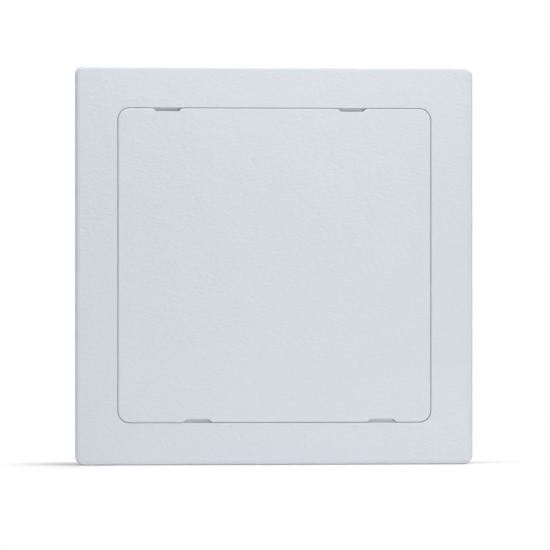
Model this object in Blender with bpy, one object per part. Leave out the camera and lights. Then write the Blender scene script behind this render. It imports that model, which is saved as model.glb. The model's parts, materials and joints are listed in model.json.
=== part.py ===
"""Flush ceiling access panel: a flanged frame and a snap-in door.

The panel stands upright as it is drawn: the face looks along -Y, +X is to the
right of someone who faces it, and +Z is up. The origin is the centre of the
opening, in the plane where the flange seats on the ceiling board. All sizes
are in metres.
"""

import math

import bmesh
import bpy

# Door, as seen from the room
DOOR_SIZE = 0.1896
DOOR_CORNER = 0.0070
DOOR_SKIN = 0.0026
DOOR_EDGE_ROUND = 0.0004

# Frame, as seen from the room
DOOR_GAP = 0.0003
FLANGE_WIDTH = 0.0254
FLANGE_CORNER = 0.0055
FLANGE_RISE = 0.0040
OUTER_EDGE_ROUND = 0.0020
LIP_ROUND = 0.0005

# Frame, behind the face
FLANGE_SKIN = 0.0020
RIM_WALL = 0.0020
COLLAR_WALL = 0.0025
COLLAR_DEPTH = 0.0190
COLLAR_CHAMFER = 0.0006
LEDGE_WIDTH = 0.0030
LEDGE_THICK = 0.0014
LEDGE_CHAMFER = 0.0004
GLUE_RIB_WALL = 0.0012
GLUE_RIB_DROP = 0.0002
GLUE_RIBS_PER_SIDE = 7
FIXING_HOLE = 0.0044
FIXING_HOLE_PITCH = 0.0400
FIXING_HOLE_DEPTH = 0.0130

# Door, behind the face
SKIRT_CLEARANCE = 0.0008
SKIRT_WALL = 0.0016
SKIRT_DEPTH = 0.0064
DOOR_RIB_WALL = 0.0012
DOOR_RIB_DEPTH = 0.0042
DOOR_RIB_COUNT = 2
RIB_TO_POCKET = 0.0066
EJECTOR_PAD = 0.0060
GATE_STUB = 0.0040
GATE_STUB_DEPTH = 0.0008

# Notches in the door's edge: two above and two below, the same when turned half round
NOTCH_FROM_CLOSE_SIDE = 0.0298
NOTCH_FROM_OTHER_SIDE = 0.0480
NOTCH_MOUTH = 0.0176
NOTCH_FLOOR = 0.0136
NOTCH_DEPTH = 0.0019

# Snap hooks and the catch tabs that they meet
HOOK_WIDTH = 0.0140
HOOK_ROOT = 0.0020
HOOK_NECK = 0.0013
HOOK_REACH = 0.0085
HOOK_EDGE_ROUND = 0.0002
NOSE_STAND = 0.0014
NOSE_FLAT = 0.0007
NOSE_RAMP = 0.0024
NOSE_CLEARANCE = 0.0002
TAB_WIDTH = 0.0160
TAB_WALL = 0.0014
TAB_GUSSET = 0.0012
CHEEK_WALL = 0.0012
CHEEK_LENGTH = 0.0072
CHEEK_CLEARANCE = 0.0004
BACKSTOP_WALL = 0.0012
BACKSTOP_HEIGHT = 0.0028

# Clearance between pieces that touch, and overlap of shapes that are joined
SEAT_GAP = 0.0003
WELD = 0.0004
OVERSHOOT = 0.0020
FLUSH_STEP = 0.0001

# Facets, and the angle under which two of them are shaded as one surface
CORNER_STEPS = 10
ROUND_STEPS = 4
HOLE_STEPS = 20
HOOK_ROUND_STEPS = 2
SMOOTH_BELOW = math.radians(35)

# Places that follow from the sizes
FACE_Y = -FLANGE_RISE
DOOR_HALF = DOOR_SIZE / 2
OPENING_HALF = DOOR_HALF + DOOR_GAP
OPENING_CORNER = DOOR_CORNER + DOOR_GAP
FRAME_HALF = OPENING_HALF + FLANGE_WIDTH
COLLAR_HALF = OPENING_HALF + COLLAR_WALL
COLLAR_CORNER = OPENING_CORNER + COLLAR_WALL
DOOR_BACK_Y = FACE_Y + DOOR_SKIN
LEDGE_FRONT_Y = DOOR_BACK_Y + SEAT_GAP
LEDGE_HALF = OPENING_HALF - LEDGE_WIDTH
SKIRT_HALF = LEDGE_HALF - SKIRT_CLEARANCE
SKIRT_END_Y = DOOR_BACK_Y + SKIRT_DEPTH
NOSE_TIP_Z = LEDGE_HALF - NOSE_CLEARANCE
HOOK_OUTER_Z = NOSE_TIP_Z - NOSE_STAND
HOOK_AXIS_Z = HOOK_OUTER_Z - HOOK_ROOT / 2
HOOK_AXIS_Y = DOOR_BACK_Y + SEAT_GAP + HOOK_ROOT / 2
TAB_END_Y = HOOK_AXIS_Y + HOOK_REACH - NOSE_CLEARANCE
CLOSE_X = DOOR_HALF - NOTCH_FROM_CLOSE_SIDE
OTHER_X = DOOR_HALF - NOTCH_FROM_OTHER_SIDE
POCKET_HALF = HOOK_WIDTH / 2 + CHEEK_CLEARANCE + CHEEK_WALL

# Stations of the notches, hooks and tabs: name, x, and +1 for the upper edge or -1 for the lower
STATIONS = [
    ("upper_left", -CLOSE_X, 1),
    ("upper_right", OTHER_X, 1),
    ("lower_left", -OTHER_X, -1),
    ("lower_right", CLOSE_X, -1),
]


def clear_scene():
    """Removes every object, so that the script can be run again."""
    for item in list(bpy.data.objects):
        bpy.data.objects.remove(item, do_unlink=True)


def plastic(name, colour, roughness):
    """A moulded plastic with no metal in it."""
    material = bpy.data.materials.new(name)
    material.use_nodes = True
    shader = material.node_tree.nodes["Principled BSDF"]
    shader.inputs["Base Color"].default_value = (*colour, 1.0)
    shader.inputs["Roughness"].default_value = roughness
    shader.inputs["Metallic"].default_value = 0.0
    return material


def add_object(name, bm, material=None, smooth=False):
    """Turns a bmesh into an object; a smooth one keeps a crease at each sharp edge."""
    bmesh.ops.recalc_face_normals(bm, faces=bm.faces)
    mesh = bpy.data.meshes.new(name)
    bm.to_mesh(mesh)
    bm.free()
    if smooth:
        mesh.shade_smooth()
        mesh.set_sharp_from_angle(angle=SMOOTH_BELOW)
    if material is not None:
        mesh.materials.append(material)
    item = bpy.data.objects.new(name, mesh)
    bpy.context.collection.objects.link(item)
    return item


def as_guide(item):
    """Hides a shape that only cuts or is joined to another."""
    item.hide_render = True
    item.display_type = "WIRE"


def apply_shape(item, tool, operation, own_overlaps=False):
    """Cuts tool from item, or joins tool to item, with a modifier that stays."""
    modifier = item.modifiers.new(tool.name, "BOOLEAN")
    modifier.operation = operation
    modifier.solver = "EXACT"
    modifier.use_self = own_overlaps
    modifier.object = tool
    as_guide(tool)


def rounded_square(half, corner, y):
    """Points of a square with round corners, seen along Y, at depth y."""
    points = []
    centre = half - corner
    for quarter, (side_x, side_z) in enumerate([(1, 1), (-1, 1), (-1, -1), (1, -1)]):
        for step in range(CORNER_STEPS + 1):
            angle = (quarter + step / CORNER_STEPS) * math.pi / 2
            x = side_x * centre + corner * math.cos(angle)
            z = side_z * centre + corner * math.sin(angle)
            points.append((x, y, z))
    return points


def rounded_edge(half, corner, front_y, radius, side):
    """Stations round a front edge; side is +1 for an outer edge and -1 for an opening's lip."""
    stations = []
    for step in range(ROUND_STEPS + 1):
        angle = step / ROUND_STEPS * math.pi / 2
        inset = side * radius * (1 - math.sin(angle))
        y = front_y + radius * (1 - math.cos(angle))
        stations.append((half - inset, corner - inset, y))
    return stations


def skin_stations(stations, closed):
    """Skins a run of rounded squares; an open run is capped, a closed run is a ring."""
    bm = bmesh.new()
    rings = [[bm.verts.new(p) for p in rounded_square(*station)] for station in stations]
    pairs = list(zip(rings, rings[1:]))
    if closed:
        pairs.append((rings[-1], rings[0]))
    for first, second in pairs:
        for i in range(len(first)):
            j = (i + 1) % len(first)
            bm.faces.new((first[i], first[j], second[j], second[i]))
    if not closed:
        bm.faces.new(rings[0])
        bm.faces.new(rings[-1])
    return bm


def add_prism(bm, outlines):
    """Skins outlines that have equal numbers of points, from the first to the last, with end caps."""
    rings = [[bm.verts.new(point) for point in outline] for outline in outlines]
    faces = [bm.faces.new(rings[0]), bm.faces.new(list(reversed(rings[-1])))]
    for first, second in zip(rings, rings[1:]):
        for i in range(len(first)):
            j = (i + 1) % len(first)
            faces.append(bm.faces.new((first[j], first[i], second[i], second[j])))
    bmesh.ops.recalc_face_normals(bm, faces=faces)


def add_block(bm, low, high):
    """A rectangular block between two corners."""
    section = [(low[1], low[2]), (high[1], low[2]), (high[1], high[2]), (low[1], high[2])]
    add_prism(bm, [[(x, y, z) for y, z in section] for x in (low[0], high[0])])


def turn_half(point, edge):
    """Places a point that is drawn for the upper edge on the upper (+1) or the lower (-1) edge."""
    return (edge * point[0], point[1], edge * point[2])


def add_across(bm, outline, centre_x, width, edge):
    """A prism along X from an outline of (y, z) points drawn for the upper edge."""
    ends = []
    for x in (centre_x - width / 2, centre_x + width / 2):
        ends.append([turn_half((x, y, z), edge) for y, z in outline])
    add_prism(bm, ends)


def add_post(bm, centre_x, centre_z, width, low_y, high_y):
    """A round post that stands along Y."""
    circles = []
    for y in (low_y, high_y):
        circle = []
        for step in range(HOLE_STEPS):
            angle = step / HOLE_STEPS * 2 * math.pi
            across, up = width / 2 * math.cos(angle), width / 2 * math.sin(angle)
            circle.append((centre_x + across, y, centre_z + up))
        circles.append(circle)
    add_prism(bm, circles)


def frame_stations():
    """The frame's section, from the opening's lip over the face and back along the collar."""
    rim_inner = FRAME_HALF - RIM_WALL
    rim_corner = max(FLANGE_CORNER - RIM_WALL, RIM_WALL / 2)
    skin_back = FACE_Y + FLANGE_SKIN
    stations = [(OPENING_HALF, OPENING_CORNER, LEDGE_FRONT_Y)]
    stations += reversed(rounded_edge(OPENING_HALF, OPENING_CORNER, FACE_Y, LIP_ROUND, -1))
    stations += rounded_edge(FRAME_HALF, FLANGE_CORNER, FACE_Y, OUTER_EDGE_ROUND, 1)
    stations += [
        (FRAME_HALF, FLANGE_CORNER, 0.0),
        (rim_inner, rim_corner, 0.0),
        (rim_inner, rim_corner, skin_back),
        (COLLAR_HALF, COLLAR_CORNER, skin_back),
        (COLLAR_HALF, COLLAR_CORNER, COLLAR_DEPTH - COLLAR_CHAMFER),
        (COLLAR_HALF - COLLAR_CHAMFER, COLLAR_CORNER - COLLAR_CHAMFER, COLLAR_DEPTH),
        (OPENING_HALF, OPENING_CORNER, COLLAR_DEPTH),
    ]
    ledge_corner = OPENING_CORNER - LEDGE_WIDTH
    ledge_back_y = LEDGE_FRONT_Y + LEDGE_THICK
    stations += [
        (OPENING_HALF, OPENING_CORNER, ledge_back_y),
        (LEDGE_HALF, ledge_corner, ledge_back_y),
        (LEDGE_HALF, ledge_corner, LEDGE_FRONT_Y + LEDGE_CHAMFER),
        (LEDGE_HALF + LEDGE_CHAMFER, ledge_corner + LEDGE_CHAMFER, LEDGE_FRONT_Y),
    ]
    return stations


def add_catch_tab(bm, x, edge):
    """A tab that runs back from the ledge, with a gusset to the collar at each end of it."""
    root_y = LEDGE_FRONT_Y + LEDGE_THICK - WELD
    tab = [
        (root_y, LEDGE_HALF),
        (TAB_END_Y, LEDGE_HALF),
        (TAB_END_Y, LEDGE_HALF + TAB_WALL),
        (root_y, LEDGE_HALF + TAB_WALL),
    ]
    gusset = [
        (root_y, LEDGE_HALF + TAB_WALL / 2),
        (TAB_END_Y - TAB_WALL, LEDGE_HALF + TAB_WALL / 2),
        (TAB_END_Y + TAB_WALL, OPENING_HALF + WELD),
        (root_y, OPENING_HALF + WELD),
    ]
    middle = edge * x
    add_across(bm, tab, middle, TAB_WIDTH, edge)
    for side in (1, -1):
        offset = side * (TAB_WIDTH - TAB_GUSSET) / 2
        add_across(bm, gusset, middle + offset - side * WELD / 2, TAB_GUSSET, edge)


def frame_additions():
    """Catch tabs inside the collar and glue ribs behind the flange."""
    bm = bmesh.new()
    for _, x, edge in STATIONS:
        add_catch_tab(bm, x, edge)
    inner = COLLAR_HALF - WELD
    outer = FRAME_HALF - RIM_WALL + WELD
    front = FACE_Y + FLANGE_SKIN - WELD
    straight = 2 * (OPENING_HALF - OPENING_CORNER)
    pitch = straight / (GLUE_RIBS_PER_SIDE - 1)
    for i in range(GLUE_RIBS_PER_SIDE):
        along = i * pitch - straight / 2
        low, high = along - GLUE_RIB_WALL / 2, along + GLUE_RIB_WALL / 2
        for side in (1, -1):
            near, far = sorted((side * inner, side * outer))
            add_block(bm, (low, front, near), (high, -GLUE_RIB_DROP, far))
            add_block(bm, (near, front, low), (far, -GLUE_RIB_DROP, high))
    return add_object("frame_additions", bm)


def fixing_holes():
    """Round holes through the collar, two in each side."""
    bm = bmesh.new()
    inner, outer = OPENING_HALF - OVERSHOOT, COLLAR_HALF + OVERSHOOT
    for along in (-FIXING_HOLE_PITCH / 2, FIXING_HOLE_PITCH / 2):
        circle = []
        for step in range(HOLE_STEPS):
            angle = step / HOLE_STEPS * 2 * math.pi
            across = along + FIXING_HOLE / 2 * math.cos(angle)
            circle.append((across, FIXING_HOLE_DEPTH + FIXING_HOLE / 2 * math.sin(angle)))
        for side in (1, -1):
            add_prism(bm, [[(a, y, side * reach) for a, y in circle] for reach in (inner, outer)])
            add_prism(bm, [[(side * reach, y, a) for a, y in circle] for reach in (inner, outer)])
    return add_object("fixing_holes", bm)


def make_frame(material):
    """The flanged frame: one moulding."""
    bm = skin_stations(frame_stations(), closed=True)
    frame = add_object("frame", bm, material, smooth=True)
    apply_shape(frame, fixing_holes(), "DIFFERENCE")
    apply_shape(frame, frame_additions(), "UNION", own_overlaps=True)
    return frame


def door_stations():
    """The door's section, from its face round the edge and over the skirt."""
    skirt_corner = DOOR_CORNER - (DOOR_HALF - SKIRT_HALF)
    inner_half = SKIRT_HALF - SKIRT_WALL
    inner_corner = max(skirt_corner - SKIRT_WALL, SKIRT_WALL / 2)
    stations = rounded_edge(DOOR_HALF, DOOR_CORNER, FACE_Y, DOOR_EDGE_ROUND, 1)
    stations += [
        (DOOR_HALF, DOOR_CORNER, DOOR_BACK_Y),
        (SKIRT_HALF, skirt_corner, DOOR_BACK_Y),
        (SKIRT_HALF, skirt_corner, SKIRT_END_Y),
        (inner_half, inner_corner, SKIRT_END_Y),
        (inner_half, inner_corner, DOOR_BACK_Y),
    ]
    return stations


def notch_outline(spread, y, x, edge):
    """The notch's outline at depth y, grown by spread for the rounding of its front edge."""
    slope = math.atan2((NOTCH_MOUTH - NOTCH_FLOOR) / 2, NOTCH_DEPTH)
    floor = DOOR_HALF - NOTCH_DEPTH - spread
    top = DOOR_HALF + OVERSHOOT
    half_floor = NOTCH_FLOOR / 2 + spread * math.tan(math.pi / 4 - slope / 2)
    half_top = half_floor + (top - floor) * math.tan(slope)
    outline = [(-half_floor, floor), (half_floor, floor), (half_top, top), (-half_top, top)]
    return [turn_half((edge * x + along, y, z), edge) for along, z in outline]


def door_cuts():
    """The four notches, with round front edges, and the gaps in the skirt where the hooks stand."""
    bm = bmesh.new()
    gap_width = HOOK_WIDTH + 2 * CHEEK_CLEARANCE
    gap = [
        (DOOR_BACK_Y, SKIRT_HALF - SKIRT_WALL - OVERSHOOT),
        (SKIRT_END_Y + OVERSHOOT, SKIRT_HALF - SKIRT_WALL - OVERSHOOT),
        (SKIRT_END_Y + OVERSHOOT, SKIRT_HALF + OVERSHOOT),
        (DOOR_BACK_Y, SKIRT_HALF + OVERSHOOT),
    ]
    for _, x, edge in STATIONS:
        outlines = [notch_outline(DOOR_EDGE_ROUND, FACE_Y - OVERSHOOT, x, edge)]
        for step in range(ROUND_STEPS + 1):
            angle = step / ROUND_STEPS * math.pi / 2
            spread = DOOR_EDGE_ROUND * (1 - math.sin(angle))
            y = FACE_Y + DOOR_EDGE_ROUND * (1 - math.cos(angle))
            outlines.append(notch_outline(spread, y, x, edge))
        outlines.append(notch_outline(0.0, DOOR_BACK_Y + OVERSHOOT / 2, x, edge))
        add_prism(bm, outlines)
    notches = add_object("door_notches", bm)
    bm = bmesh.new()
    for _, x, edge in STATIONS:
        add_across(bm, gap, edge * x, gap_width, edge)
    return notches, add_object("skirt_gaps", bm)


def spread(count, reach):
    """Evenly spaced places from -reach to reach, or the middle for one alone."""
    if count == 1:
        return [0.0]
    return [reach * (2 * i / (count - 1) - 1) for i in range(count)]


def door_additions():
    """Cross ribs with ejector pads, the gate's stub, and a pocket for each hook's root."""
    bm = bmesh.new()
    front = DOOR_BACK_Y - WELD
    reach = SKIRT_HALF - SKIRT_WALL + WELD
    half_wall = DOOR_RIB_WALL / 2
    top = DOOR_BACK_Y + DOOR_RIB_DEPTH
    upright_places = spread(DOOR_RIB_COUNT, OTHER_X - POCKET_HALF - RIB_TO_POCKET)
    third = DOOR_SIZE / (DOOR_RIB_COUNT + 1)
    level_places = spread(DOOR_RIB_COUNT, DOOR_HALF - third)
    for x in upright_places:
        add_block(bm, (x - half_wall, front, -reach), (x + half_wall, top, reach))
    for z in level_places:
        add_block(bm, (-reach, front, z - half_wall), (reach, top - FLUSH_STEP, z + half_wall))
        for x in upright_places:
            add_post(bm, x, z, EJECTOR_PAD, front, top + FLUSH_STEP)
    add_post(bm, 0.0, 0.0, GATE_STUB, front, DOOR_BACK_Y + GATE_STUB_DEPTH)
    cheek_end = SKIRT_HALF - CHEEK_LENGTH
    cheek = [
        (front, cheek_end),
        (DOOR_BACK_Y + BACKSTOP_HEIGHT, cheek_end),
        (SKIRT_END_Y, SKIRT_HALF - SKIRT_WALL),
        (SKIRT_END_Y, SKIRT_HALF),
        (front, SKIRT_HALF),
    ]
    stop_face = HOOK_OUTER_Z - HOOK_ROOT - CHEEK_CLEARANCE
    backstop = [
        (front, stop_face - BACKSTOP_WALL),
        (DOOR_BACK_Y + BACKSTOP_HEIGHT - WELD, stop_face - BACKSTOP_WALL),
        (DOOR_BACK_Y + BACKSTOP_HEIGHT - WELD, stop_face),
        (front, stop_face),
    ]
    offset = POCKET_HALF - CHEEK_WALL / 2
    for _, x, edge in STATIONS:
        middle = edge * x
        add_across(bm, cheek, middle - offset, CHEEK_WALL, edge)
        add_across(bm, cheek, middle + offset, CHEEK_WALL, edge)
        add_across(bm, backstop, middle, 2 * offset, edge)
    return add_object("door_additions", bm)


def make_door(material):
    """The snap-in door: one moulding."""
    bm = skin_stations(door_stations(), closed=False)
    door = add_object("door_panel", bm, material, smooth=True)
    notches, gaps = door_cuts()
    apply_shape(door, gaps, "DIFFERENCE")
    apply_shape(door, door_additions(), "UNION", own_overlaps=True)
    apply_shape(door, notches, "DIFFERENCE")
    return door


def hook_outline():
    """A hook's section, from its own axis: a round root, a tapered arm and a ramped nose."""
    radius = HOOK_ROOT / 2
    outline = []
    for step in range(2 * ROUND_STEPS + 1):
        angle = math.pi / 2 + step / (2 * ROUND_STEPS) * math.pi
        outline.append((radius * math.cos(angle), radius * math.sin(angle)))
    outline.reverse()
    outer, inner_end = radius, radius - HOOK_NECK
    tip = NOSE_TIP_Z - HOOK_AXIS_Z
    end = HOOK_REACH + NOSE_FLAT + NOSE_RAMP
    outline += [
        (HOOK_REACH, outer),
        (HOOK_REACH, tip),
        (HOOK_REACH + NOSE_FLAT, tip),
        (end, outer),
        (end, inner_end),
        (HOOK_REACH, inner_end),
    ]
    return outline


def make_hook(station, material, door):
    """One snap hook, with its origin on the line where its root bends."""
    name, x, edge = station
    bm = bmesh.new()
    ends = [[(side * HOOK_WIDTH / 2, y, z) for y, z in hook_outline()] for side in (-1, 1)]
    add_prism(bm, ends)
    hook = add_object("snap_hook_" + name, bm, material, smooth=True)
    rounding = hook.modifiers.new("edge_round", "BEVEL")
    rounding.width = HOOK_EDGE_ROUND
    rounding.segments = HOOK_ROUND_STEPS
    rounding.limit_method = "ANGLE"
    rounding.angle_limit = SMOOTH_BELOW
    hook.location = (x, HOOK_AXIS_Y, edge * HOOK_AXIS_Z)
    hook.rotation_euler = (0.0, 0.0 if edge > 0 else math.pi, 0.0)
    hook.parent = door
    return hook


def main():
    clear_scene()
    frame_white = plastic("frame_white", (0.69, 0.72, 0.77), 0.5)
    door_white = plastic("door_white", (0.69, 0.72, 0.77), 0.5)
    hook_white = plastic("hook_white", (0.72, 0.71, 0.67), 0.4)
    make_frame(frame_white)
    door = make_door(door_white)
    for station in STATIONS:
        make_hook(station, hook_white, door)


main()
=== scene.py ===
# %% [markdown]
# # A flush ceiling access panel
#
# The real object is a white plastic panel that closes a square hole in a ceiling. A frame
# with a wide flange goes into the hole, and a door snaps into the frame, level with it.
# This file gives the panel its looks: shapes from Blender's mesh tools, finishes from nodes.
# Plain solids of the same panel come first. They hold the real sizes and say what moves, so
# each finished piece below is built over its solid and travels with it.

# %% Load the plain solids
import json
import math

import bmesh
import bpy
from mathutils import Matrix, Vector

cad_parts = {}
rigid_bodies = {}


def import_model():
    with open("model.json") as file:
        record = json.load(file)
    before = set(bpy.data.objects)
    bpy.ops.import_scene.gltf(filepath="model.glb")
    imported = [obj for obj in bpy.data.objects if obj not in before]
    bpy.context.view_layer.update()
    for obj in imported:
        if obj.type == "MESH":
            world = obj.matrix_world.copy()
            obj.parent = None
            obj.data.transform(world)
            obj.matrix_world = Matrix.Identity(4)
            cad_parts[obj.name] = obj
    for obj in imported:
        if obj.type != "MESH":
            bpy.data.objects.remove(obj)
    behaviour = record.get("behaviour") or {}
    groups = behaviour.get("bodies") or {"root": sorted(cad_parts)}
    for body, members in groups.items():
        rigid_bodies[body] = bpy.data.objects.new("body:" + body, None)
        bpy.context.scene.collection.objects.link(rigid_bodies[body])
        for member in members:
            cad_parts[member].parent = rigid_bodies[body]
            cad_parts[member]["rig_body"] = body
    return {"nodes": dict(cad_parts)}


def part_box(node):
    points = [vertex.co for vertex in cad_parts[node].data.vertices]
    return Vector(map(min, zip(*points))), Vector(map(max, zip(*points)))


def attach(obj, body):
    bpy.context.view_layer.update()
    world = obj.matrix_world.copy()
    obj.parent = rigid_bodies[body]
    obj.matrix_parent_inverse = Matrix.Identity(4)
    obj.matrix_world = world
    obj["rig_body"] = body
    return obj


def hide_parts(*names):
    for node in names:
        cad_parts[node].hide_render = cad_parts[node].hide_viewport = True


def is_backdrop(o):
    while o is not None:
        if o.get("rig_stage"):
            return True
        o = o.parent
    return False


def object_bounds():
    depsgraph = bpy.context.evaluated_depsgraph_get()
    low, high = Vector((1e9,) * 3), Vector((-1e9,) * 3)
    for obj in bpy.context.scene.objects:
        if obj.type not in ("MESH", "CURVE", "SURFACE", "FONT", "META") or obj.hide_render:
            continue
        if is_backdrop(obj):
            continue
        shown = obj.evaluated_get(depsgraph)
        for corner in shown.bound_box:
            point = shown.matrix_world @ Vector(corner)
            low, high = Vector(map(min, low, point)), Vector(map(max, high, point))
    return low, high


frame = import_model()
solid_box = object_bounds()
for name in sorted(frame["nodes"]):
    low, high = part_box(name)
    size = " x ".join(f"{1000 * side:.1f}" for side in high - low)
    print(f"{name}: {size} mm")

# %% [markdown]
# ## Sizes that the solids give
#
# Typing every size again would let the looks drift away from the solids. The corners of
# each solid's box already hold the main ones, so these are read and only named here. The
# panel stands upright: its face looks along -Y, +X is to the right and +Z is up. All
# lengths in this file are in metres.

# %% Read the main sizes
frame_low, frame_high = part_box("frame")
door_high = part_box("door_panel")[1]
FRAME_HALF = frame_high.x
FACE_Y = frame_low.y
COLLAR_END_Y = frame_high.y
DOOR_HALF = door_high.x
SKIRT_END_Y = door_high.y
print(f"frame {2000 * FRAME_HALF:.1f} mm square, door {2000 * DOOR_HALF:.1f} mm square")
print(f"the face stands {-1000 * FACE_Y:.1f} mm in front of the ceiling")
print(f"the collar ends {1000 * COLLAR_END_Y:.1f} mm behind it")

# %% [markdown]
# ## The camera
#
# A product photo is usually taken from far away with a long lens, which keeps opposite
# sides nearly parallel. Here the left side of the panel comes out 0.7 percent taller than
# the right one, and the width a little under the height. Both follow from a camera three
# metres away, turned about five degrees to the left of the panel's own direction. Dragging
# a camera about by eye would come close. A turn, a distance and a width can each be matched
# to the photo by itself.

# %% Place the camera
CAMERA_TURN = math.radians(5.2)
CAMERA_DISTANCE = 3.1
VIEW_WIDTH = 0.3322
AIM = Vector((0.0001, FACE_Y, -0.0058))

camera_data = bpy.data.cameras.new("camera")
camera_data.type = "PERSP"
camera_data.lens = camera_data.sensor_width * CAMERA_DISTANCE / VIEW_WIDTH
camera = bpy.data.objects.new("camera", camera_data)
bpy.context.collection.objects.link(camera)
toward_camera = Vector((-math.sin(CAMERA_TURN), -math.cos(CAMERA_TURN), 0.0))
camera.location = AIM + CAMERA_DISTANCE * toward_camera
camera.rotation_euler = (-toward_camera).to_track_quat("-Z", "Y").to_euler()
bpy.context.scene.camera = camera
bpy.context.scene.view_settings.view_transform = "Standard"
print(f"a {camera_data.lens:.0f} mm lens shows {1000 * VIEW_WIDTH:.0f} mm at the panel")

# %% [markdown]
# ## Small helpers for nodes
#
# Every finish below is a tree of shader nodes. Such a tree could be drawn by hand in the
# Shader Editor, but in a script its numbers have names. Adding a node, setting its values
# and linking its inputs takes many lines when written out, so one helper does all three. A
# value in `inputs` that is itself a socket becomes a link, and any other is typed in. Two
# more helpers do one step of arithmetic, on numbers or on vectors.

# %% Define the node helpers
def add_node(tree, kind, inputs=None, **settings):
    """Adds a node, sets its options, and links or fills its inputs."""
    node = tree.nodes.new("ShaderNode" + kind)
    for key, value in settings.items():
        setattr(node, key, value)
    for key, value in (inputs or {}).items():
        if isinstance(value, bpy.types.NodeSocket):
            tree.links.new(value, node.inputs[key])
        else:
            node.inputs[key].default_value = value
    return node


def math_node(tree, operation, first, second=0.0):
    """One step of arithmetic; gives the result's socket."""
    return add_node(tree, "Math", {0: first, 1: second}, operation=operation).outputs[0]


def vector_node(tree, operation, first, second):
    """One step of vector arithmetic; gives the result's socket."""
    return add_node(tree, "VectorMath", {0: first, 1: second}, operation=operation).outputs[0]


def new_material(name):
    """An empty material; gives it, its tree and its output node."""
    material = bpy.data.materials.new(name)
    material.use_nodes = True
    tree = material.node_tree
    tree.nodes.clear()
    return material, tree, add_node(tree, "OutputMaterial")


print("node helpers are ready")

# %% [markdown]
# ## White surroundings
#
# The photo shows the panel on pure white. A white world that also lit the panel, or lamps
# bright enough to bleach a backdrop, would wash out its edges. So the world answers two
# kinds of ray in two ways: what the camera or a reflection sees is white, and what lights
# the panel is a soft grey.

# %% Make the world
AMBIENT_LEVEL = 0.22
WHITE = (1.0, 1.0, 1.0, 1.0)


def seen_directly(tree):
    """1 for rays from the camera, a reflection or clear material, and 0 for rays that gather light."""
    path = add_node(tree, "LightPath")
    seen = math_node(tree, "MAXIMUM", path.outputs["Is Camera Ray"], path.outputs["Is Glossy Ray"])
    return math_node(tree, "MAXIMUM", seen, path.outputs["Is Transmission Ray"])


world = bpy.data.worlds.new("white_room")
world.use_nodes = True
sky = world.node_tree
sky.nodes.clear()
ambient = add_node(sky, "Background", {"Color": WHITE, "Strength": AMBIENT_LEVEL})
backdrop = add_node(sky, "Background", {"Color": WHITE, "Strength": 1.0})
mix = add_node(sky, "MixShader", {0: seen_directly(sky), 1: ambient.outputs[0], 2: backdrop.outputs[0]})
add_node(sky, "OutputWorld", {"Surface": mix.outputs[0]})
bpy.context.scene.world = world
print(f"world lights the panel at {AMBIENT_LEVEL}")

# %% [markdown]
# ## The floor
#
# The panel stands on its lower edge on a pale floor, which takes its contact shadow and
# sends light back up to it. A matt floor alone would look grey and end in a horizon. So it
# is an ordinary matt surface for the light, and to the eye it fades into plain white within
# a few centimetres of the panel.

# %% Make the floor
FLOOR_HALF = 8.0
FLOOR_MATT_REACH = 0.005
FLOOR_WHITE_REACH = 0.05
FLOOR_COLOUR = (0.92, 0.92, 0.92, 1.0)

bm = bmesh.new()
bmesh.ops.create_grid(bm, x_segments=1, y_segments=1, size=FLOOR_HALF)
floor_mesh = bpy.data.meshes.new("floor")
bm.to_mesh(floor_mesh)
bm.free()
floor = bpy.data.objects.new("floor", floor_mesh)
floor.location.z = frame_low.z
bpy.context.collection.objects.link(floor)
floor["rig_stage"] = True

floor_material, tree, output = new_material("floor_matt_white")
place = add_node(tree, "TexCoord").outputs["Object"]
footprint_low = (-FRAME_HALF, FACE_Y, 0.0)
footprint_high = (FRAME_HALF, COLLAR_END_Y, 0.0)
nearest = vector_node(tree, "MAXIMUM", place, footprint_low)
nearest = vector_node(tree, "MINIMUM", nearest, footprint_high)
away = add_node(tree, "VectorMath", {0: place, 1: nearest}, operation="DISTANCE").outputs["Value"]
fade = add_node(
    tree,
    "MapRange",
    {"Value": away, "From Min": FLOOR_MATT_REACH, "From Max": FLOOR_WHITE_REACH},
    interpolation_type="SMOOTHSTEP",
)
matt = add_node(tree, "BsdfDiffuse", {"Color": FLOOR_COLOUR})
plain = add_node(tree, "Emission", {"Color": WHITE, "Strength": 1.0})
share = math_node(tree, "MULTIPLY", fade.outputs["Result"], seen_directly(tree))
surface = add_node(tree, "MixShader", {0: share, 1: matt.outputs[0], 2: plain.outputs[0]})
tree.links.new(surface.outputs[0], output.inputs["Surface"])
floor_mesh.materials.append(floor_material)
print(f"floor at z = {1000 * floor.location.z:.1f} mm")

# %% [markdown]
# ## Soft lamps
#
# In the photo the upper edges catch the light, the grain stands out at the top and fades
# towards the bottom, and the right side is a little brighter than the left. A lamp straight
# in front would flatten all of that. So a wide soft lamp hangs close above the panel, and
# its light grazes the face. A weak one farther off to the right, and a long narrow one near
# the floor, fill the lower half. The lamp behind is for the other views only. Each one
# points at the middle of the panel.

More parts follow.
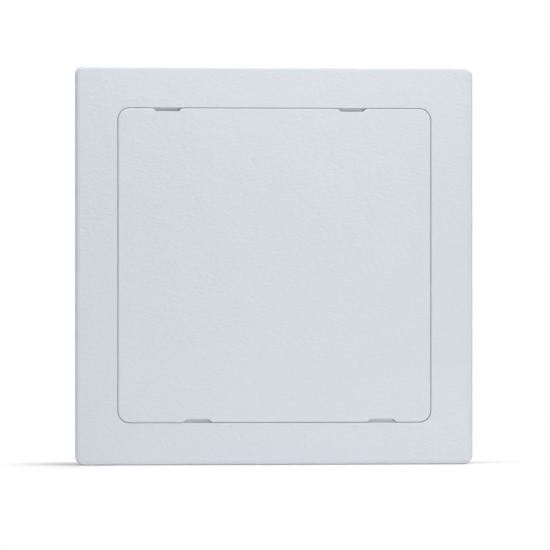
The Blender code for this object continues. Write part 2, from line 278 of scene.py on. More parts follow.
# %% Make the lamps
LAMPS = {
    "above": {"at": (0.07, -0.14, 0.52), "width": 0.8, "depth": 0.3, "watts": 3.65},
    "right": {"at": (0.30, -0.80, 0.02), "width": 0.25, "depth": 0.25, "watts": 1.3},
    "low": {"at": (-0.06, -0.22, -0.09), "width": 0.5, "depth": 0.05, "watts": 0.045},
    "behind": {"at": (0.30, 0.70, 0.20), "width": 0.4, "depth": 0.4, "watts": 3.0},
}
for name, lamp in LAMPS.items():
    lamp_data = bpy.data.lights.new(name, "AREA")
    lamp_data.shape = "RECTANGLE"
    lamp_data.size = lamp["width"]
    lamp_data.size_y = lamp["depth"]
    lamp_data.energy = lamp["watts"]
    item = bpy.data.objects.new(name, lamp_data)
    item.location = lamp["at"]
    item.rotation_euler = (-item.location).to_track_quat("-Z", "Y").to_euler()
    bpy.context.collection.objects.link(item)
    print(f"{name} lamp: {lamp['width']} m wide, {lamp['watts']} W, {item.location.length:.2f} m away")

# %% [markdown]
# ## Rounded squares, the shape behind everything
#
# The flange, the collar, the door and its skirt are all squares with round corners, one
# behind the other. A modeller could bevel a cube many times, but a list of such squares at
# growing depth, joined by faces, describes a moulded wall exactly and keeps its thickness.

# %% Define squares and skins
CORNER_STEPS = 20


def rounded_square(half, corner, y):
    """Points of a square with round corners, seen along Y, at depth y."""
    points = []
    for quarter, (side_x, side_z) in enumerate([(1, 1), (-1, 1), (-1, -1), (1, -1)]):
        for step in range(CORNER_STEPS + 1):
            angle = (quarter + step / CORNER_STEPS) * math.pi / 2
            x = side_x * (half - corner) + corner * math.cos(angle)
            z = side_z * (half - corner) + corner * math.sin(angle)
            points.append(Vector((x, y, z)))
    return points


def add_skin(bm, outlines, ring=False):
    """Joins outlines of equal length by faces; a ring closes on itself, any other run is capped."""
    loops = [[bm.verts.new(point) for point in outline] for outline in outlines]
    pairs = list(zip(loops, loops[1:]))
    if ring:
        pairs.append((loops[-1], loops[0]))
    faces = []
    for first, second in pairs:
        for i in range(len(first)):
            j = (i + 1) % len(first)
            faces.append(bm.faces.new((first[i], first[j], second[j], second[i])))
    if not ring:
        faces += [bm.faces.new(loops[0]), bm.faces.new(loops[-1])]
    bmesh.ops.recalc_face_normals(bm, faces=faces)


print(f"a rounded square has {len(rounded_square(FRAME_HALF, FRAME_HALF / 2, 0))} points")

# %% [markdown]
# ## Round edges
#
# No edge of a moulding is sharp. The steel mould has small radii, and light gathers on them
# as thin bright lines. Each radius is put into the sections as a short arc of stations, so
# it has its real size and no Bevel modifier has to guess where it belongs.

# %% Define arcs
ROUND_STEPS = 6


def arc(centre, radius, start, end, steps=ROUND_STEPS):
    """Points on an arc in a plane, from one angle in degrees to another."""
    points = []
    for step in range(steps + 1):
        angle = math.radians(start + (end - start) * step / steps)
        points.append((centre[0] + radius * math.cos(angle), centre[1] + radius * math.sin(angle)))
    return points


def stations_from(section, half, corner):
    """Turns section points (step in from the outside, depth) into stations of a rounded square."""
    return [(half - inward, corner - inward, y) for inward, y in section]


print(f"each edge is rounded in {ROUND_STEPS} steps")

# %% [markdown]
# ## Turning meshes into objects
#
# Every piece goes through the same few steps: a bmesh becomes an object, Booleans join
# shapes to it or cut them from it, and at last it is shaded smooth except at real creases.
# There a Weighted Normal modifier keeps the large flat faces flat. The modifiers could stay
# live in a stack, but each is baked in at once, so that the next step starts from a plain
# mesh that can be looked at.

# %% Define the object helpers
CREASE = math.radians(32)


def make_object(name, bm):
    """An object from a bmesh, which is used up."""
    mesh = bpy.data.meshes.new(name)
    bm.to_mesh(mesh)
    bm.free()
    item = bpy.data.objects.new(name, mesh)
    bpy.context.collection.objects.link(item)
    return item


def bake_modifiers(item):
    """Puts what the modifiers give into the object's own mesh."""
    graph = bpy.context.evaluated_depsgraph_get()
    mesh = bpy.data.meshes.new_from_object(item.evaluated_get(graph))
    item.modifiers.clear()
    item.data = mesh


def combine(item, bm, operation):
    """Joins the bmesh's shapes to the object (UNION) or cuts them from it (DIFFERENCE)."""
    tool = make_object("tool", bm)
    boolean = item.modifiers.new("combine", "BOOLEAN")
    boolean.operation = operation
    boolean.solver = "EXACT"
    # Shapes that are joined may cross each other, as ribs do. Cutters never do.
    boolean.use_self = operation == "UNION"
    boolean.object = tool
    bake_modifiers(item)
    bpy.data.objects.remove(tool)


def shade(item):
    """Smooth shading with creases at sharp edges, and flat faces kept flat."""
    item.data.shade_smooth()
    item.data.set_sharp_from_angle(angle=CREASE)
    weighted = item.modifiers.new("flat_faces", "WEIGHTED_NORMAL")
    weighted.keep_sharp = True
    bake_modifiers(item)
    print(f"{item.name}: {len(item.data.polygons)} faces")


print("object helpers are ready")

# %% [markdown]
# ## Walls, corners and gaps
#
# A solid's box says nothing about its walls and corners, so these are set here, once. The
# walls are 1.4 to 2.6 mm, as in most mouldings of this size: thinner ones don't fill, and
# thicker ones sink as they cool. The corners and the gap come from the photo. Where one
# piece fits another, its place is worked out from the other's size and a clearance.

# %% Set the frame's sizes
FLANGE_SKIN = 0.0020
FLANGE_CORNER = 0.0055
OUTER_ROUND = 0.0020
LIP_ROUND = 0.0003
RIM_WALL = 0.0020
DOOR_GAP = 0.0003
DOOR_CORNER = 0.0070
COLLAR_WALL = 0.0025
COLLAR_ROUND = 0.0006
LEDGE_WIDTH = 0.0030
LEDGE_THICK = 0.0014
LEDGE_ROUND = 0.0004
DOOR_SKIN = 0.0026
SEAT_GAP = 0.0003

OPENING_HALF = DOOR_HALF + DOOR_GAP
OPENING_CORNER = DOOR_CORNER + DOOR_GAP
DOOR_BACK_Y = FACE_Y + DOOR_SKIN
LEDGE_FRONT_Y = DOOR_BACK_Y + SEAT_GAP
LEDGE_BACK_Y = LEDGE_FRONT_Y + LEDGE_THICK
print(f"the opening is {2000 * OPENING_HALF:.1f} mm square, the gap {1000 * DOOR_GAP:.1f} mm wide")

# %% [markdown]
# ## The frame's moulding
#
# The frame is one injection moulding. Its flange is a hollow skin with a rim that seats on
# the ceiling, its collar reaches into the hole, and a narrow ledge just inside the opening
# stops the door level with the flange. It could be cut out of a block with Booleans. One
# closed section, carried round a rounded square, gives clean edges and even walls instead.
# The section is written as (half width, corner radius, depth).

# %% Build the frame's ring
def frame_stations():
    """The frame's section, from the opening's lip over the face and back along the collar."""
    skin_back = FACE_Y + FLANGE_SKIN
    lip = arc((-LIP_ROUND, FACE_Y + LIP_ROUND), LIP_ROUND, 0, -90)
    outer = arc((OUTER_ROUND, FACE_Y + OUTER_ROUND), OUTER_ROUND, 270, 180)
    collar_end = arc((COLLAR_ROUND, COLLAR_END_Y - COLLAR_ROUND), COLLAR_ROUND, 180, 90)
    ledge_tip = arc((-LEDGE_ROUND, LEDGE_FRONT_Y + LEDGE_ROUND), LEDGE_ROUND, 0, -90)
    collar_half = OPENING_HALF + COLLAR_WALL
    collar_corner = OPENING_CORNER + COLLAR_WALL
    ledge_half = OPENING_HALF - LEDGE_WIDTH
    ledge_corner = OPENING_CORNER - LEDGE_WIDTH
    stations = [(OPENING_HALF, OPENING_CORNER, LEDGE_FRONT_Y)]
    stations += stations_from(lip, OPENING_HALF, OPENING_CORNER)
    stations += stations_from(outer, FRAME_HALF, FLANGE_CORNER)
    stations += stations_from([(0, 0), (RIM_WALL, 0), (RIM_WALL, skin_back)], FRAME_HALF, FLANGE_CORNER)
    stations += [(collar_half, collar_corner, skin_back)]
    stations += stations_from(collar_end, collar_half, collar_corner)
    stations += [(OPENING_HALF, OPENING_CORNER, COLLAR_END_Y)]
    stations += [(OPENING_HALF, OPENING_CORNER, LEDGE_BACK_Y)]
    stations += [(ledge_half, ledge_corner, LEDGE_BACK_Y)]
    stations += stations_from(ledge_tip, ledge_half, ledge_corner)
    return stations


bm = bmesh.new()
add_skin(bm, [rounded_square(*station) for station in frame_stations()], ring=True)
frame_moulding = make_object("frame_moulding", bm)
print(f"the frame's section has {len(frame_stations())} stations")

# %% [markdown]
# ## Places of the four hooks
#
# Two notches in the door's upper edge and two in its lower one show where the door snaps
# in. Behind each stands a hook on the door and a catch tab on the frame. Their places could
# be typed in, but the hooks' solids already hold them: a box's middle gives the place along
# the edge, and its ends give the hook's size.

# %% Read the hooks' places
HOOKS = {}
for name in sorted(frame["nodes"]):
    if name.startswith("snap_hook_"):
        low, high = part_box(name)
        middle = (low + high) / 2
        edge = 1 if middle.z > 0 else -1
        HOOKS[name] = {"along": edge * middle.x, "edge": edge}
        HOOK_WIDTH = high.x - low.x
        HOOK_FRONT_Y = low.y
        HOOK_END_Y = high.y
        NOSE_TIP_Z = max(abs(low.z), abs(high.z))
        print(f"{name}: x = {1000 * middle.x:.1f} mm, {HOOK_WIDTH * 1000:.1f} mm wide")

# %% [markdown]
# ## One drawing for four places
#
# Tabs, cheeks, stops and hooks all have one outline from the side and one width across. The
# pattern is the same when the panel is turned half round, so each is drawn once for the
# upper edge, and a lower one is turned about Y. A Mirror modifier would flip the pieces
# instead of turning them, and the hooks would stand on the wrong side of the middle.

# %% Define pieces that lie across an edge
SOFTEN_SEGMENTS = 2
ROUND_PROFILE = 0.5


def turned(point, edge):
    """A point drawn for the upper edge, placed on the upper (+1) or the lower (-1) edge."""
    return Vector((edge * point[0], point[1], edge * point[2]))


def add_copy(bm, piece):
    """Moves the faces of one bmesh into another."""
    mesh = bpy.data.meshes.new("part")
    piece.to_mesh(mesh)
    piece.free()
    bm.from_mesh(mesh)
    bpy.data.meshes.remove(mesh)


def add_across(bm, section, middle, width, edge, soften=0.0):
    """A prism along X from (y, z) points drawn for the upper edge, with softened edges."""
    piece = bmesh.new()
    ends = []
    for x in (edge * middle - width / 2, edge * middle + width / 2):
        ends.append([turned((x, y, z), edge) for y, z in section])
    add_skin(piece, ends)
    if soften > 0:
        sharp = [line for line in piece.edges if line.calc_face_angle(0) > CREASE]
        bmesh.ops.bevel(
            piece,
            geom=sharp,
            offset=soften,
            segments=SOFTEN_SEGMENTS,
            profile=ROUND_PROFILE,
            affect="EDGES",
        )
    add_copy(bm, piece)


print(f"edges over {math.degrees(CREASE):.0f} degrees get softened in {SOFTEN_SEGMENTS} steps")

# %% [markdown]
# ## Catch tabs
#
# Each hook's nose passes a tab that runs back from the ledge, and snaps out behind its end.
# A tab has a small gusset at each end, which ties it to the collar as on the real moulding.
# Tabs that only touched the frame would leave a crack in the shading. So each one sinks
# into it a little, and an exact Boolean makes one body of them.

# %% Add the catch tabs
WELD = 0.0004
EDGE_SOFTEN = 0.00025
NOSE_CLEARANCE = 0.0002
HOOK_REACH = 0.0085
HOOK_ROOT = 0.0020
TAB_WIDTH = 0.0160
TAB_WALL = 0.0014
TAB_GUSSET = 0.0012
LEDGE_HALF = OPENING_HALF - LEDGE_WIDTH
TAB_END_Y = HOOK_FRONT_Y + HOOK_ROOT / 2 + HOOK_REACH - NOSE_CLEARANCE

root_y = LEDGE_BACK_Y - WELD
tab = [(root_y, LEDGE_HALF), (TAB_END_Y, LEDGE_HALF)]
tab += [(y, z + TAB_WALL) for y, z in reversed(tab)]
gusset = [
    (root_y, LEDGE_HALF + TAB_WALL / 2),
    (TAB_END_Y - TAB_WALL, LEDGE_HALF + TAB_WALL / 2),
    (TAB_END_Y + TAB_WALL, OPENING_HALF + WELD),
    (root_y, OPENING_HALF + WELD),
]
gusset_offset = (TAB_WIDTH - TAB_GUSSET - 2 * WELD) / 2

bm = bmesh.new()
for hook in HOOKS.values():
    add_across(bm, tab, hook["along"], TAB_WIDTH, hook["edge"], EDGE_SOFTEN)
    for side in (1, -1):
        place = hook["along"] + side * gusset_offset
        add_across(bm, gusset, place, TAB_GUSSET, hook["edge"], EDGE_SOFTEN)
combine(frame_moulding, bm, "UNION")
print(f"{len(HOOKS)} catch tabs, {1000 * TAB_WIDTH:.0f} mm wide")

# %% [markdown]
# ## Ribs with a foot and a round top
#
# Thin ribs stiffen the hollow side of a moulding. A real rib is drafted, a little thinner
# at its top so that it leaves the mould, and has a small fillet at its foot. A plain box
# would meet the wall in a hard line that no mould leaves. So the helper carries a real
# rib's section along a straight line, standing up from a wall along +Y.

# %% Define a rib
RIB_WALL = 0.0012
RIB_DRAFT = 0.0001
RIB_FOOT = 0.0004
RIB_TOP_ROUND = 0.0003
SMALL_ROUND_STEPS = 4


def rib_section(height):
    """(across, up) points of a rib: root, filleted foot, drafted side, round top."""
    half = RIB_WALL / 2
    top = half - RIB_DRAFT
    foot = arc((half + RIB_FOOT, RIB_FOOT), RIB_FOOT, 270, 180, SMALL_ROUND_STEPS)
    crest_middle = (top - RIB_TOP_ROUND, height - RIB_TOP_ROUND)
    crest = arc(crest_middle, RIB_TOP_ROUND, 0, 90, SMALL_ROUND_STEPS)
    side = [(half + RIB_FOOT, -WELD)] + foot + crest
    return side + [(-across, up) for across, up in reversed(side)]


def add_rib(bm, start, end, base_y, height):
    """A rib on the wall at base_y, from start to end, which are (x, z) points."""
    along = Vector((end[0] - start[0], 0.0, end[1] - start[1])).normalized()
    across = Vector((along.z, 0.0, -along.x))
    ends = []
    for x, z in (start, end):
        foot = Vector((x, base_y, z))
        outline = []
        for aside, up in rib_section(height):
            outline.append(foot + aside * across + Vector((0.0, up, 0.0)))
        ends.append(outline)
    add_skin(bm, ends)


print(f"a rib is {1000 * RIB_WALL:.1f} mm thick at its foot")

# %% [markdown]
# ## Ribs behind the flange
#
# The hollow of the flange takes a bead of adhesive. Seven ribs a side stiffen it and give
# the adhesive more to hold. They end just under the rim, so that the rim alone seats on the
# ceiling. Array modifiers could repeat them, but a loop that shares out the straight part
# of each side keeps the row even when the count changes.

# %% Add the ribs behind the flange
GLUE_RIBS_PER_SIDE = 7
GLUE_RIB_DROP = 0.0002

bm = bmesh.new()
straight = 2 * (OPENING_HALF - OPENING_CORNER)
inner = OPENING_HALF + COLLAR_WALL - WELD
outer = FRAME_HALF - RIM_WALL + WELD
skin_back = FACE_Y + FLANGE_SKIN
rib_height = -GLUE_RIB_DROP - skin_back
for i in range(GLUE_RIBS_PER_SIDE):
    place = straight * (i / (GLUE_RIBS_PER_SIDE - 1) - 0.5)
    for side in (1, -1):
        add_rib(bm, (side * inner, place), (side * outer, place), skin_back, rib_height)
        add_rib(bm, (place, side * inner), (place, side * outer), skin_back, rib_height)
combine(frame_moulding, bm, "UNION")
print(f"{4 * GLUE_RIBS_PER_SIDE} ribs behind the flange")

# %% [markdown]
# ## Fixing holes
#
# Two holes in each side of the collar take screws where there is timber to screw into. A
# plain cylinder would cut them with knife edges. So the cutters flare at both ends, which
# leaves the small chamfer that a moulded hole has.

# %% Cut the fixing holes
HOLE_WIDTH = 0.0044
HOLE_PITCH = 0.0400
HOLE_DEPTH = 0.0130
HOLE_FLARE = 0.0003
CIRCLE_STEPS = 32


def circle(centre, radius):
    """Points on a whole circle in a plane."""
    return arc(centre, radius, 0, 360 - 360 / CIRCLE_STEPS, CIRCLE_STEPS - 1)


def add_hole_cutter(bm, along, side, upright):
    """A flared cylinder through one side of the collar."""
    near = OPENING_HALF
    far = OPENING_HALF + COLLAR_WALL
    radius = HOLE_WIDTH / 2
    profile = [
        (near - HOLE_FLARE, radius + 2 * HOLE_FLARE),
        (near + HOLE_FLARE, radius),
        (far - HOLE_FLARE, radius),
        (far + HOLE_FLARE, radius + 2 * HOLE_FLARE),
    ]
    outlines = []
    for reach, width in profile:
        ring = circle((along, HOLE_DEPTH), width)
        if upright:
            outlines.append([Vector((x, y, side * reach)) for x, y in ring])
        else:
            outlines.append([Vector((side * reach, y, z)) for z, y in ring])
    add_skin(bm, outlines)


bm = bmesh.new()
for along in (-HOLE_PITCH / 2, HOLE_PITCH / 2):
    for side in (1, -1):
        add_hole_cutter(bm, along, side, upright=True)
        add_hole_cutter(bm, along, side, upright=False)
combine(frame_moulding, bm, "DIFFERENCE")
shade(frame_moulding)

# %% [markdown]
# ## The door's moulding
#
# The door is the second moulding: a skin 2.6 mm thick with a skirt behind it that guides it
# into the opening. Its soft front edge catches the light just under the upper seam in the
# photo. It is built as the frame is, but this run of squares has two ends. Their caps are
# the face in front and the skin's back within the skirt.

# %% Build the door's body
DOOR_EDGE_ROUND = 0.0004
SKIRT_CLEARANCE = 0.0008
SKIRT_WALL = 0.0016
SKIRT_ROUND = 0.0004
SKIRT_HALF = LEDGE_HALF - SKIRT_CLEARANCE
SKIRT_CORNER = DOOR_CORNER - (DOOR_HALF - SKIRT_HALF)


def door_stations():
    """The door's section, from its face round the edge and over the skirt."""
    edge = arc((DOOR_EDGE_ROUND, FACE_Y + DOOR_EDGE_ROUND), DOOR_EDGE_ROUND, 270, 180)
    tip_y = SKIRT_END_Y - SKIRT_ROUND
    tip = arc((SKIRT_ROUND, tip_y), SKIRT_ROUND, 180, 90, SMALL_ROUND_STEPS)
    tip += arc((SKIRT_WALL - SKIRT_ROUND, tip_y), SKIRT_ROUND, 90, 0, SMALL_ROUND_STEPS)
    skirt = [(0, DOOR_BACK_Y)] + tip + [(SKIRT_WALL, DOOR_BACK_Y)]
    stations = stations_from(edge + [(0, DOOR_BACK_Y)], DOOR_HALF, DOOR_CORNER)
    stations += stations_from(skirt, SKIRT_HALF, SKIRT_CORNER)
    return stations


bm = bmesh.new()
add_skin(bm, [rounded_square(*station) for station in door_stations()])
door_moulding = make_object("door_moulding", bm)
print(f"the door's section has {len(door_stations())} stations")

# %% [markdown]
# ## Gaps in the skirt
#
# The skirt stops short at each hook, so that the arm has room to bend. The gaps could be
# left out of the skirt's section, but then the section would no longer be the same all
# round. A cut after the fact is simpler. The cutters reach past the plastic on every open
# side, so that no thin film is left standing there.

# %% Cut the gaps in the skirt
CHEEK_CLEARANCE = 0.0004
CUT_OVERSHOOT = 0.0020

skirt_gap = [
    (DOOR_BACK_Y, SKIRT_HALF - SKIRT_WALL - CUT_OVERSHOOT),
    (SKIRT_END_Y + CUT_OVERSHOOT, SKIRT_HALF - SKIRT_WALL - CUT_OVERSHOOT),
    (SKIRT_END_Y + CUT_OVERSHOOT, SKIRT_HALF + CUT_OVERSHOOT),
    (DOOR_BACK_Y, SKIRT_HALF + CUT_OVERSHOOT),
]
skirt_gap_width = HOOK_WIDTH + 2 * CHEEK_CLEARANCE

bm = bmesh.new()
for hook in HOOKS.values():
    add_across(bm, skirt_gap, hook["along"], skirt_gap_width, hook["edge"])
combine(door_moulding, bm, "DIFFERENCE")
print(f"{len(HOOKS)} gaps, {1000 * skirt_gap_width:.1f} mm wide")

# %% [markdown]
# ## Ribs, pads and the gate's stub
#
# A flat skin this wide would warp, so two ribs each way cross behind it. Round pads at the
# crossings are where the mould's ejector pins push, and the low stub in the middle is where
# the plastic flowed in. Ribs of one height would share a face at each crossing, which a
# Boolean handles badly, so one set is a tenth of a millimetre lower.

# %% Add ribs, pads and the stub
RIB_HEIGHT = 0.0042
RIBS_EACH_WAY = 2
CROSS_STEP = 0.0001
EJECTOR_PAD = 0.0060
GATE_STUB = 0.0040
GATE_STUB_HEIGHT = 0.0008


def add_post(bm, x, z, width, height, rounding):
    """A round pad that stands on the door's back, with a softened rim."""
    radius = width / 2
    outlines = []
    for reach, up in [(radius, -WELD), (radius, height - rounding), (radius - rounding, height)]:
        rim = circle((x, z), reach)
        outlines.append([Vector((rim_x, DOOR_BACK_Y + up, rim_z)) for rim_x, rim_z in rim])
    add_skin(bm, outlines)


bm = bmesh.new()
reach = SKIRT_HALF - SKIRT_WALL + WELD
rib_places = []
for i in range(RIBS_EACH_WAY):
    rib_places.append(2 * DOOR_HALF * (i + 1) / (RIBS_EACH_WAY + 1) - DOOR_HALF)
for place in rib_places:
    add_rib(bm, (place, -reach), (place, reach), DOOR_BACK_Y, RIB_HEIGHT)
    add_rib(bm, (-reach, place), (reach, place), DOOR_BACK_Y, RIB_HEIGHT - CROSS_STEP)
    for other in rib_places:
        add_post(bm, place, other, EJECTOR_PAD, RIB_HEIGHT + CROSS_STEP, EDGE_SOFTEN)
add_post(bm, 0.0, 0.0, GATE_STUB, GATE_STUB_HEIGHT, EDGE_SOFTEN)
combine(door_moulding, bm, "UNION")
print(f"{2 * RIBS_EACH_WAY} ribs, {RIBS_EACH_WAY ** 2} ejector pads and the gate's stub")

# %% [markdown]
# ## Pockets for the hooks
#
# Each hook stands between two cheeks. A low stop on its inner side keeps a screwdriver from
# bending the arm too far. These are short walls with softened edges, drawn from the side
# like the catch tabs. They come after the gaps, whose cutters would take a bite out of the
# stops.

# %% Add the hooks' pockets
NOSE_STAND = 0.0014
CHEEK_WALL = 0.0012
CHEEK_LENGTH = 0.0072
BACKSTOP_WALL = 0.0012
BACKSTOP_HEIGHT = 0.0028
HOOK_OUTER_Z = NOSE_TIP_Z - NOSE_STAND

front = DOOR_BACK_Y - WELD
cheek_end = SKIRT_HALF - CHEEK_LENGTH
cheek = [
    (front, cheek_end),
    (DOOR_BACK_Y + BACKSTOP_HEIGHT, cheek_end),
    (SKIRT_END_Y, SKIRT_HALF - SKIRT_WALL),
    (SKIRT_END_Y, SKIRT_HALF),
    (front, SKIRT_HALF),
]
stop_face = HOOK_OUTER_Z - HOOK_ROOT - CHEEK_CLEARANCE
stop_top = DOOR_BACK_Y + BACKSTOP_HEIGHT - WELD
backstop = [(front, stop_face - BACKSTOP_WALL), (stop_top, stop_face - BACKSTOP_WALL)]
backstop += [(stop_top, stop_face), (front, stop_face)]
cheek_offset = HOOK_WIDTH / 2 + CHEEK_CLEARANCE + CHEEK_WALL / 2

bm = bmesh.new()
for hook in HOOKS.values():
    for side in (1, -1):
        place = hook["along"] + side * cheek_offset
        add_across(bm, cheek, place, CHEEK_WALL, hook["edge"], EDGE_SOFTEN)
    add_across(bm, backstop, hook["along"], 2 * cheek_offset, hook["edge"], EDGE_SOFTEN)
combine(door_moulding, bm, "UNION")
print(f"{len(HOOKS)} pockets with cheeks {1000 * CHEEK_WALL:.1f} mm thick")

# %% [markdown]
# ## Notches for a screwdriver
#
# Each notch is a shallow trapezium in the door's edge. Its front edge is rounded like the
# rest of the door. A bevel after the cut would have to find that edge among all the others,
# so the cutter has the rounding in it: it grows towards the face along a quarter circle.
# The cut is made last, after everything that stands behind it.

# %% Cut the notches
NOTCH_MOUTH = 0.0176
NOTCH_FLOOR = 0.0136
NOTCH_DEPTH = 0.0019


def notch_outline(spread, y, hook):
    """The notch's outline at depth y, grown by spread."""
    slope = math.atan2((NOTCH_MOUTH - NOTCH_FLOOR) / 2, NOTCH_DEPTH)
    low = DOOR_HALF - NOTCH_DEPTH - spread
    high = DOOR_HALF + CUT_OVERSHOOT
    half_low = NOTCH_FLOOR / 2 + spread * math.tan(math.pi / 4 - slope / 2)
    half_high = half_low + (high - low) * math.tan(slope)
    outline = [(-half_low, low), (half_low, low), (half_high, high), (-half_high, high)]
    return [turned((hook["along"] + x, y, z), hook["edge"]) for x, z in outline]


bm = bmesh.new()
for hook in HOOKS.values():
    outlines = [notch_outline(DOOR_EDGE_ROUND, FACE_Y - CUT_OVERSHOOT, hook)]
    for inward, y in arc((0.0, FACE_Y + DOOR_EDGE_ROUND), DOOR_EDGE_ROUND, 270, 180):
        outlines.append(notch_outline(DOOR_EDGE_ROUND + inward, y, hook))
    outlines.append(notch_outline(0.0, DOOR_BACK_Y + CUT_OVERSHOOT / 2, hook))
    add_skin(bm, outlines)
combine(door_moulding, bm, "DIFFERENCE")
shade(door_moulding)

# %% [markdown]
# ## Snap hooks
#
# A hook is a short sprung arm. Its root is round where it bends, the arm gets thinner
# towards the tip, and the nose has a ramp that lets the door click in. The side of the nose
# that faces the door is square, so it holds until a screwdriver bends the arm back. On the
# real door hook and door are one piece. Here each hook is an object of its own, because it
# has to turn by itself about its root.

# %% Build the hooks
HOOK_NECK = 0.0013
NOSE_FLAT = 0.0007
HOOK_SOFTEN = 0.0002
ROOT_STEPS = 14


def hook_section():
    """(y, z) points for the upper edge: round root, tapered arm, and a nose with a ramp."""
    radius = HOOK_ROOT / 2
    axis_y = HOOK_FRONT_Y + radius
    catch_y = axis_y + HOOK_REACH
    inner_z = HOOK_OUTER_Z - HOOK_NECK
    root = arc((axis_y, HOOK_OUTER_Z - radius), radius, 270, 90, ROOT_STEPS)
    return root + [
        (catch_y, HOOK_OUTER_Z),
        (catch_y, NOSE_TIP_Z),
        (catch_y + NOSE_FLAT, NOSE_TIP_Z),
        (HOOK_END_Y, HOOK_OUTER_Z),
        (HOOK_END_Y, inner_z),
        (catch_y, inner_z),
    ]


hook_pieces = {}
for name, hook in HOOKS.items():
    bm = bmesh.new()
    add_across(bm, hook_section(), hook["along"], HOOK_WIDTH, hook["edge"], HOOK_SOFTEN)
    hook_pieces[name] = make_object(name.replace("snap_hook", "hook_arm"), bm)
    shade(hook_pieces[name])

# %% [markdown]
# ## The pebbled grain
#
# The front of the panel isn't glossy. The mould is etched there with shallow pebbles, about
# 1.7 mm from top to bottom and 1.7 times as long from side to side. They hide scratches and
# break up reflections. To model them would take millions of faces, so they are a height
# pattern for a Bump node: noise, and the round tops of smooth Voronoi cells whose borders
# other noise bends.

# %% Define the grain
PEBBLE_PITCH = 0.0017
PEBBLE_STRETCH = 1.7
PEBBLE_HEIGHT = 0.00015
PEBBLE_BEND = 0.0012
PEBBLES_PER_BEND = 3
PEBBLE_DETAIL = 1.0
CELL_SMOOTHNESS = 0.8
DOME_SHARE = 0.35
NOISE_MIDDLE = 0.5


def scaled(tree, vector, factor):
    """A vector times a number; gives the result's socket."""
    return add_node(tree, "VectorMath", {0: vector, "Scale": factor}, operation="SCALE").outputs[0]


def noise(tree, place, size, detail):
    """Noise with lumps of about one size; gives the node's outputs."""
    return add_node(tree, "TexNoise", {"Vector": place, "Scale": 1 / size, "Detail": detail}).outputs


def pebble_height(tree, place):
    """The etched grain's height, from 0 to a little over 1."""
    place = vector_node(tree, "MULTIPLY", place, (1 / PEBBLE_STRETCH, 1.0, 1.0))
    bend = noise(tree, place, PEBBLES_PER_BEND * PEBBLE_PITCH, PEBBLE_DETAIL)["Color"]
    shift = vector_node(tree, "SUBTRACT", bend, (NOISE_MIDDLE, NOISE_MIDDLE, NOISE_MIDDLE))
    bent = vector_node(tree, "ADD", place, scaled(tree, shift, PEBBLE_BEND))
    sockets = {"Vector": bent, "Scale": 1 / PEBBLE_PITCH, "Smoothness": CELL_SMOOTHNESS}
    cells = add_node(tree, "TexVoronoi", sockets, feature="SMOOTH_F1").outputs["Distance"]
    domes = math_node(tree, "MULTIPLY", math_node(tree, "SUBTRACT", 1.0, cells), DOME_SHARE)
    return math_node(tree, "ADD", noise(tree, place, PEBBLE_PITCH, PEBBLE_DETAIL)[0], domes)


print(f"pebbles {1000 * PEBBLE_PITCH:.1f} mm apart, {1e6 * PEBBLE_HEIGHT:.0f} micrometres high")

# %% [markdown]
# ## Grain in front, faint lines behind
#
# The etching stops just short of each piece's outer edge, because a mould's radii are
# polished. The back isn't etched at all: it has faint lines along the way out of the mould.
# Assigning faces to two materials would leave a hard border between them. Here the place of
# each point says which pattern it gets, and a short ramp fades one into the other.

# %% Define the relief
GRAIN_FADE = 0.0006
DRAW_LINE_WIDTH = 0.0005
DRAW_LINE_LENGTH = 0.008
DRAW_LINE_HEIGHT = 0.000004
DRAW_LINE_DETAIL = 2.0


def ramp(tree, value, start, end):
    """1 where the value is under start, 0 where it is past end, and smooth between them."""
    sockets = {"Value": value, "From Min": start, "From Max": end, "To Min": 1.0, "To Max": 0.0}
    return add_node(tree, "MapRange", sockets, interpolation_type="SMOOTHSTEP").outputs["Result"]


def draw_line_height(tree, place):
    """The height of fine lines along Y, left by sliding out of the mould."""
    stretch = (1 / DRAW_LINE_WIDTH, 1 / DRAW_LINE_LENGTH, 1 / DRAW_LINE_WIDTH)
    stretched = vector_node(tree, "MULTIPLY", place, stretch)
    lines = noise(tree, stretched, size=1.0, detail=DRAW_LINE_DETAIL)[0]
    return math_node(tree, "MULTIPLY", lines, DRAW_LINE_HEIGHT)


def relief(tree, place, in_front, inside):
    """The bumped normal: grain in front and away from the edges, lines elsewhere."""
    pebbles = math_node(tree, "MULTIPLY", pebble_height(tree, place), PEBBLE_HEIGHT)
    grain = math_node(tree, "MULTIPLY", pebbles, math_node(tree, "MULTIPLY", in_front, inside))
    behind = math_node(tree, "SUBTRACT", 1.0, in_front)
    lines = math_node(tree, "MULTIPLY", draw_line_height(tree, place), behind)
    height = math_node(tree, "ADD", grain, lines)
    return add_node(tree, "Bump", {"Strength": 1.0, "Distance": 1.0, "Height": height}).outputs[0]


print(f"the grain fades out over {1000 * GRAIN_FADE:.1f} mm")

# %% [markdown]
# ## A white that is never quite even
#
# The pigment clouds slowly over some centimetres, and the outermost edges are a little
# rubbed from handling. Painted textures would show both, but they need unwrapped meshes and
# blur from close by. Noise that follows the panel's own measures needs no unwrapping and
# stays sharp. Both effects are weak: in the photo they are felt more than seen.

# %% Define the colour
CLOUD_SIZE = 0.045
CLOUD_DEPTH = 0.03
CLOUD_DETAIL = 3.0
RUB_WIDTH = 0.0010
RUB_PITCH = 0.0016
RUB_DEPTH = 0.06
RUB_DETAIL = 4.0
RUB_FROM = 0.5
RUB_TO = 0.62


def cloud_shade(tree, clouds):
    """The brightness of the clouded plastic, a little under or over 1."""
    sockets = {"Value": clouds, "To Min": 1 - CLOUD_DEPTH / 2, "To Max": 1 + CLOUD_DEPTH / 2}
    return add_node(tree, "MapRange", sockets).outputs["Result"]


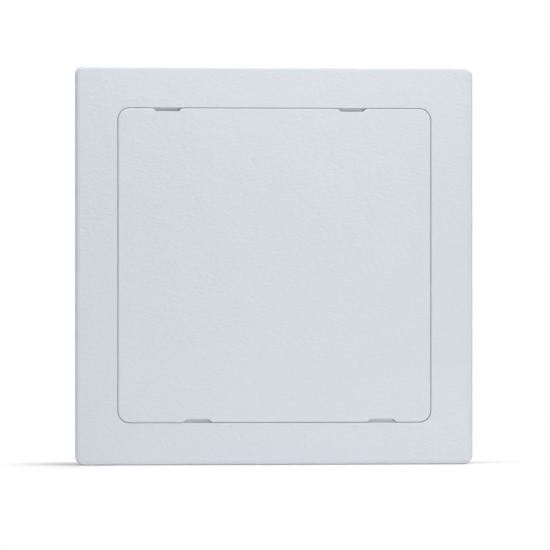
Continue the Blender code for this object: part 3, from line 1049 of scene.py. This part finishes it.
def rub_shade(tree, place, outward, outer_half):
    """The brightness of the rim: 1 on clean plastic, less in the rubbed specks."""
    away_from_rim = ramp(tree, outward, outer_half - RUB_WIDTH, outer_half)
    at_rim = math_node(tree, "SUBTRACT", 1.0, away_from_rim)
    specks = noise(tree, place, RUB_PITCH, RUB_DETAIL)[0]
    in_speck = math_node(tree, "SUBTRACT", 1.0, ramp(tree, specks, RUB_FROM, RUB_TO))
    rubbed = math_node(tree, "MULTIPLY", at_rim, in_speck)
    return math_node(tree, "SUBTRACT", 1.0, math_node(tree, "MULTIPLY", rubbed, RUB_DEPTH))


print(f"clouds of {1000 * CLOUD_SIZE:.0f} mm, a rim of {1000 * RUB_WIDTH:.0f} mm with rubbed specks")

# %% [markdown]
# ## White plastic, textured in front and plain behind
#
# One material serves a whole moulding, as one shot of plastic does. The etched front
# scatters light more than the back, so it gets a higher roughness, and the clouds vary it a
# little. Everything meets in one Principled shader, whose own sockets hold what is the same
# all over.

# %% Define the plastic
FRONT_ROUGHNESS = 0.52
BACK_ROUGHNESS = 0.36
GLOSS_MOTTLE = 0.12
PLASTIC_IOR = 1.5


def uneven_roughness(tree, in_front, clouds):
    """Satin in front, shinier behind, and a little uneven in both."""
    front_step = math_node(tree, "MULTIPLY", in_front, FRONT_ROUGHNESS - BACK_ROUGHNESS)
    even = math_node(tree, "ADD", front_step, BACK_ROUGHNESS)
    around_zero = math_node(tree, "SUBTRACT", clouds, NOISE_MIDDLE)
    return math_node(tree, "ADD", even, math_node(tree, "MULTIPLY", around_zero, GLOSS_MOTTLE))


def white_plastic(name, colour, grain_back_y, grain_half, outer_half):
    """Moulded plastic with grain in front of grain_back_y and within grain_half of the middle."""
    material, tree, output = new_material(name)
    place = add_node(tree, "TexCoord").outputs["Object"]
    axes = add_node(tree, "SeparateXYZ", {0: place}).outputs
    out_x = math_node(tree, "ABSOLUTE", axes["X"])
    out_z = math_node(tree, "ABSOLUTE", axes["Z"])
    outward = math_node(tree, "MAXIMUM", out_x, out_z)
    in_front = ramp(tree, axes["Y"], grain_back_y, grain_back_y + GRAIN_FADE)
    inside = ramp(tree, outward, grain_half - GRAIN_FADE, grain_half)

    clouds = noise(tree, place, CLOUD_SIZE, CLOUD_DETAIL)[0]
    rim = rub_shade(tree, place, outward, outer_half)
    brightness = math_node(tree, "MULTIPLY", cloud_shade(tree, clouds), rim)
    sockets = {
        "Base Color": scaled(tree, colour, brightness),
        "Roughness": uneven_roughness(tree, in_front, clouds),
        "Normal": relief(tree, place, in_front, inside),
        "IOR": PLASTIC_IOR,
    }
    shader = add_node(tree, "BsdfPrincipled", sockets)
    tree.links.new(shader.outputs[0], output.inputs["Surface"])
    print(f"{name}: {len(tree.nodes)} nodes")
    return material


# %% [markdown]
# ## One plastic for every piece
#
# The frame, the door and the hooks come from the same batch of white plastic, which the
# photo shows as a cool, slightly blue white. One material on all of them would put the
# grain's border in one place only. So the frame and the door have one each, which ends the
# grain at their own edges. The hooks share a third, whose grain would end a metre in front
# of the panel, so that it never reaches them.

# %% Make and assign the plastics
PANEL_COLOUR = (0.677, 0.705, 0.760)
NO_GRAIN_Y = -1.0

frame_plastic = white_plastic(
    "frame_white_plastic", PANEL_COLOUR, FACE_Y, FRAME_HALF - OUTER_ROUND, FRAME_HALF
)
door_plastic = white_plastic(
    "door_white_plastic", PANEL_COLOUR, FACE_Y, DOOR_HALF - DOOR_EDGE_ROUND, DOOR_HALF
)
hook_plastic = white_plastic("hook_white_plastic", PANEL_COLOUR, NO_GRAIN_Y, DOOR_HALF, DOOR_HALF)


def dress(piece, material, node):
    """Gives a piece its finish and lets it stand for its solid, on that solid's body."""
    piece.data.materials.clear()
    piece.data.materials.append(material)
    body = frame["nodes"][node]["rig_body"]
    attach(piece, body)
    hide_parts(node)
    print(f"{piece.name} stands for {node} on body {body}")


dress(frame_moulding, frame_plastic, "frame")
dress(door_moulding, door_plastic, "door_panel")
for name, piece in hook_pieces.items():
    dress(piece, hook_plastic, name)

# %% [markdown]
# ## Last measurements
#
# The finished panel has to be as large as its solids. Both boxes are printed side by side, in
# millimetres.

# %% Print the sizes of both boxes
finished_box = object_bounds()
boxes = {
    "solids": [list(corner) for corner in solid_box],
    "finished": [list(corner) for corner in finished_box],
}
for label, (low, high) in boxes.items():
    print(label, [round(1000 * (end - start), 2) for start, end in zip(low, high)], "mm")
